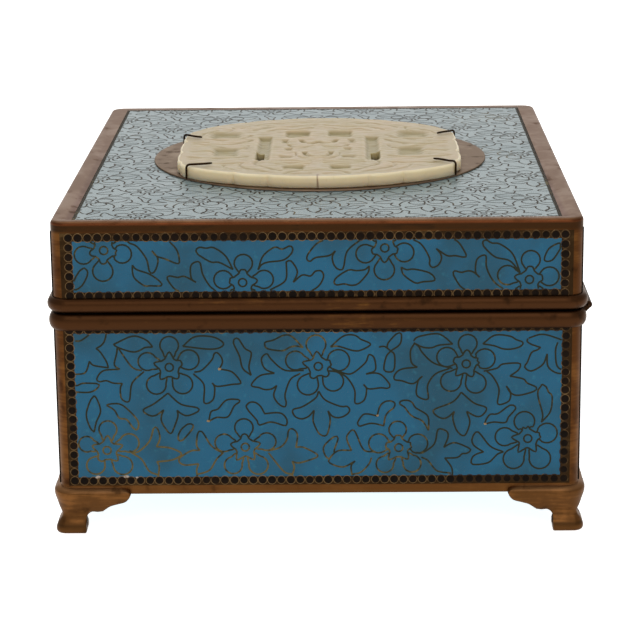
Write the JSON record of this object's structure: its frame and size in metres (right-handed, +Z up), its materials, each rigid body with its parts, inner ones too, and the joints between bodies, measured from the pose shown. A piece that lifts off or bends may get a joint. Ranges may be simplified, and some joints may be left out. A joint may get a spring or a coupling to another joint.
{
  "type": "cloisonne enamel box",
  "caption": "Hinged rectangular metal box with blue cloisonne enamel walls, bracket feet and a carved stone plaque on the lid.",
  "frame": {"origin": "middle of the whole box in plan, hinge included, on the floor under the feet", "axes": "+X along the length to the right-hand end, +Y from the front wall to the hinge side, +Z up"},
  "size_m": [0.1304, 0.1053, 0.0659],
  "materials": {
    "patinated_brass": "brown patina, rubbed brighter along the edges",
    "foot_brass": "cast, satin, brown patina in the hollows",
    "dark_brass": "dark oxidised wire and hinge",
    "backing_metal": "dull brown-grey patina",
    "blue_enamel": "polished opaque enamel with flush brass wires and dark dots",
    "pale_jade": "waxy polished pale green stone"
  },
  "bodies": {
    "base": {"base_box": "patinated_brass", "base_rim": "patinated_brass", "base_enamel_underside": "blue_enamel", "base_enamel_front": "blue_enamel", "base_enamel_back": "blue_enamel", "base_enamel_left": "blue_enamel", "base_enamel_right": "blue_enamel", "foot_front_left": "foot_brass", "foot_front_right": "foot_brass", "foot_back_left": "foot_brass", "foot_back_right": "foot_brass", "hinge_knuckle_1": "dark_brass", "hinge_knuckle_3": "dark_brass", "hinge_knuckle_5": "dark_brass", "hinge_pin": "dark_brass"},
    "lid": {"lid_box": "patinated_brass", "lid_rim": "patinated_brass", "lid_enamel_top": "blue_enamel", "lid_enamel_front": "blue_enamel", "lid_enamel_back": "blue_enamel", "lid_enamel_left": "blue_enamel", "lid_enamel_right": "blue_enamel", "plaque_backing": "backing_metal", "carved_plaque": "pale_jade", "staple_left_front": "dark_brass", "staple_left_back": "dark_brass", "staple_right_front": "dark_brass", "staple_right_back": "dark_brass", "hinge_knuckle_2": "dark_brass", "hinge_knuckle_4": "dark_brass"}
  },
  "joints": [
    {"name": "lid_hinge", "type": "hinge", "parent": "base", "child": "lid", "pos_m": [0, 0.05192, 0.0447], "axis": [-1, 0, 0], "range_deg": [0, 105]}
  ]
}
